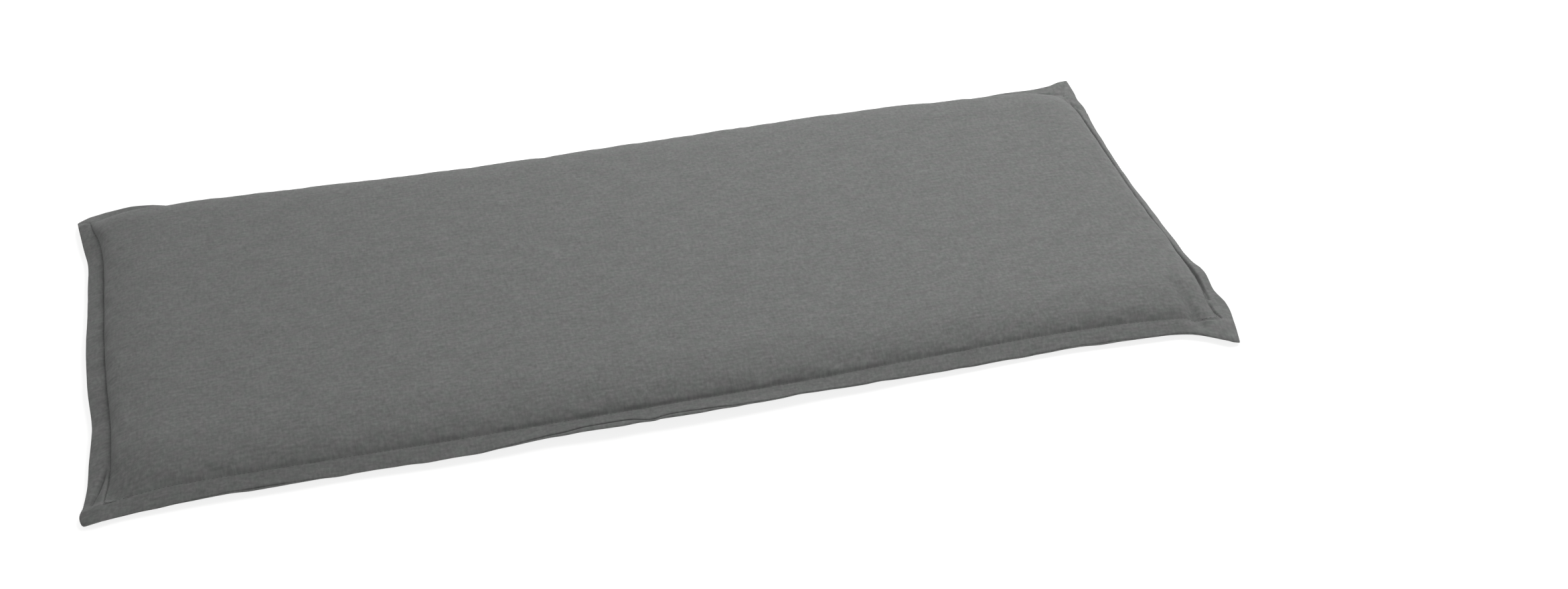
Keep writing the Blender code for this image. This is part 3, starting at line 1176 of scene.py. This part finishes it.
# ---------------------------------------------------------------- operators


class CUSHION_OT_cover(bpy.types.Operator):
    """Sews and fills the cushion's cover"""

    bl_idname = "cushion.cover"
    bl_label = "Cushion cover"

    def execute(self, context):
        cut = Cut(context.scene.cushion_sizes)
        cover = cut_panels(cut)
        sew(cover, cut)
        fill(cover, cut)
        subdivide(cover)
        detail(cover, cut)
        cover.data.shade_smooth()
        cover.data.materials.append(melange_cloth(context.scene.cushion_colours))
        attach(cover, "root")
        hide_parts(NODE)
        return {"FINISHED"}


class CUSHION_OT_stitches(bpy.types.Operator):
    """Sews the stitch row through both panels"""

    bl_idname = "cushion.stitches"
    bl_label = "Stitches"

    def execute(self, context):
        sizes = context.scene.cushion_sizes
        cover = bpy.data.objects["cushion_cover"]
        stitches = sew_stitches(cover, Cut(sizes), sizes)
        stitches.data.materials.append(sewing_thread(context.scene.cushion_colours))
        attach(stitches, "root")
        return {"FINISHED"}


class CUSHION_OT_stage(bpy.types.Operator):
    """Lays the pale floor and sets the soft lights and the camera"""

    bl_idname = "cushion.stage"
    bl_label = "Floor, lights and camera"

    def execute(self, context):
        deselect_all()
        bpy.ops.mesh.primitive_plane_add(size=FLOOR_SIZE, location=(0, 0, -FLOOR_DROP))
        floor = context.object
        floor.name = "floor"
        floor.data.materials.append(opal_floor(context.scene.cushion_colours))

        world = bpy.data.worlds.new("studio")
        world.use_nodes = True
        world.node_tree.nodes["Background"].inputs["Color"].default_value = (1, 1, 1, 1)
        world.node_tree.nodes["Background"].inputs["Strength"].default_value = WORLD_STRENGTH
        context.scene.world = world
        context.scene.view_settings.view_transform = "Standard"

        for row in LAMPS:
            lamp = bpy.data.lights.new(row.name, "AREA")
            lamp.shape = "RECTANGLE"
            lamp.size = row.width
            lamp.size_y = row.height
            lamp.energy = row.power
            softbox = bpy.data.objects.new(row.name, lamp)
            softbox.location = row.place
            way = Vector(row.aim) - softbox.location
            softbox.rotation_euler = way.to_track_quat("-Z", "Y").to_euler()
            context.scene.collection.objects.link(softbox)

        view = bpy.data.cameras.new("camera")
        view.sensor_width = SENSOR_WIDTH
        view.lens = FOCAL_PIXELS / IMAGE_WIDTH * SENSOR_WIDTH
        view.shift_x = (IMAGE_WIDTH / 2 - PRINCIPAL_X) / IMAGE_WIDTH
        camera = bpy.data.objects.new("camera", view)
        camera.location = CAMERA_PLACE
        turn = Matrix.Rotation(-math.radians(CAMERA_YAW), 3, "Z")
        turn = turn @ Matrix.Rotation(math.radians(90 - CAMERA_PITCH), 3, "X")
        turn = turn @ Matrix.Rotation(math.radians(CAMERA_ROLL), 3, "Z")
        camera.rotation_euler = turn.to_euler()
        context.scene.collection.objects.link(camera)
        context.scene.camera = camera
        return {"FINISHED"}


class CUSHION_PT_panel(bpy.types.Panel):
    """Lists what makes the cushion"""

    bl_label = "Bench cushion"
    bl_space_type = "VIEW_3D"
    bl_region_type = "UI"
    bl_category = "Cushion"

    def draw(self, context):
        layout = self.layout
        for group in (context.scene.cushion_sizes, context.scene.cushion_colours):
            for name in group.bl_rna.properties.keys():
                if name not in ("rna_type", "name"):
                    layout.prop(group, name)
        layout.operator(CUSHION_OT_cover.bl_idname)
        layout.operator(CUSHION_OT_stitches.bl_idname)
        layout.operator(CUSHION_OT_stage.bl_idname)


CLASSES = (
    CushionSizes,
    CushionColours,
    CUSHION_OT_cover,
    CUSHION_OT_stitches,
    CUSHION_OT_stage,
    CUSHION_PT_panel,
)


def register():
    for cls in CLASSES:
        bpy.utils.register_class(cls)
    bpy.types.Scene.cushion_sizes = PointerProperty(type=CushionSizes)
    bpy.types.Scene.cushion_colours = PointerProperty(type=CushionColours)


def unregister():
    del bpy.types.Scene.cushion_colours
    del bpy.types.Scene.cushion_sizes
    for cls in reversed(CLASSES):
        bpy.utils.unregister_class(cls)


def main():
    register()
    bpy.ops.cushion.cover()
    bpy.ops.cushion.stitches()
    bpy.ops.cushion.stage()


if __name__ == "__main__":
    main()
